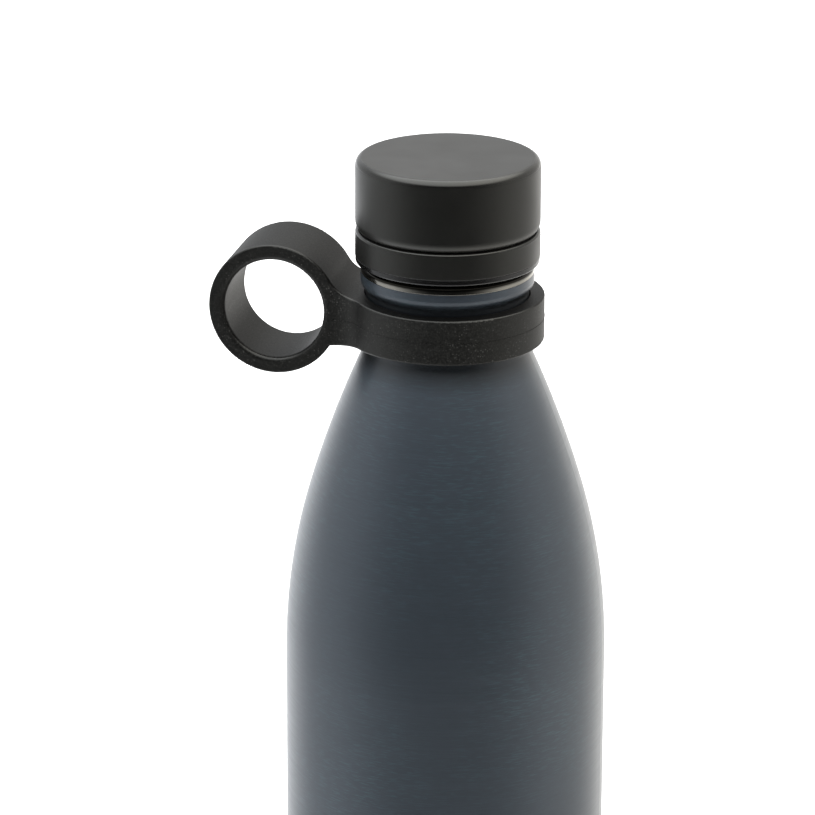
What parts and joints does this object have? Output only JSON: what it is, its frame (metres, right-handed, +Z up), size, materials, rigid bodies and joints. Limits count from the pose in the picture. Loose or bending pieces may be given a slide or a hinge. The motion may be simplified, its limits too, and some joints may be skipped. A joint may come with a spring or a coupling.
{
  "type": "insulated water bottle",
  "caption": "Vacuum-insulated steel water bottle with a sloping shoulder, a screw lid and a carry loop that turns round the neck.",
  "frame": {"origin": "on the bottle's axis, in the plane that the bottle stands on", "axes": "+Z up along the bottle's axis, -X towards the carry loop, Y along the axis of the loop's hole"},
  "size_m": [0.0978, 0.08, 0.28],
  "materials": {
    "coat": "satin powder coat, slate blue, over brushed steel",
    "steel": "bare stainless steel, polished at the mouth rim",
    "base_steel": "brushed stainless steel, turned rings",
    "solder": "fused glass solder",
    "getter": "sintered pellet",
    "copper_foil": "thin copper foil",
    "lid_satin": "satin black",
    "lid_gloss": "semi-gloss black",
    "foam": "rigid insulating foam",
    "seal_rubber": "matt black silicone",
    "strap_rubber": "fine-grained black silicone"
  },
  "bodies": {
    "bottle": {"outer_shell": "coat", "inner_flask": "steel", "inner_bottom": "steel", "vacuum_bottom": "steel", "vacuum_seal": "solder", "getter": "getter", "radiation_foil": "copper_foil", "base_disc": "base_steel"},
    "strap": {"carry_strap": "strap_rubber"},
    "seal": {"seal_ring": "seal_rubber"},
    "lid": {"cap_cover": "lid_satin", "cap_ring": "lid_satin", "stopper": "lid_gloss", "stopper_disc": "lid_gloss", "lid_foam": "foam"}
  },
  "joints": [
    {"name": "lid_lift", "type": "slide", "parent": "bottle", "child": "seal", "axis": [0, 0, 1], "range_m": [0, 0.02701]},
    {"name": "lid_turn", "type": "hinge", "parent": "seal", "child": "lid", "pos_m": [0, 0, 0.25], "axis": [0, 0, 1], "range_deg": [0, 2160]},
    {"name": "strap_swivel", "type": "hinge", "parent": "bottle", "child": "strap", "pos_m": [0, 0, 0.2398], "axis": [0, 0, 1], "continuous": true}
  ],
  "couplings": [
    {"joint": "lid_lift", "follows": "lid_turn", "m_per_rad": 0.0007162}
  ]
}
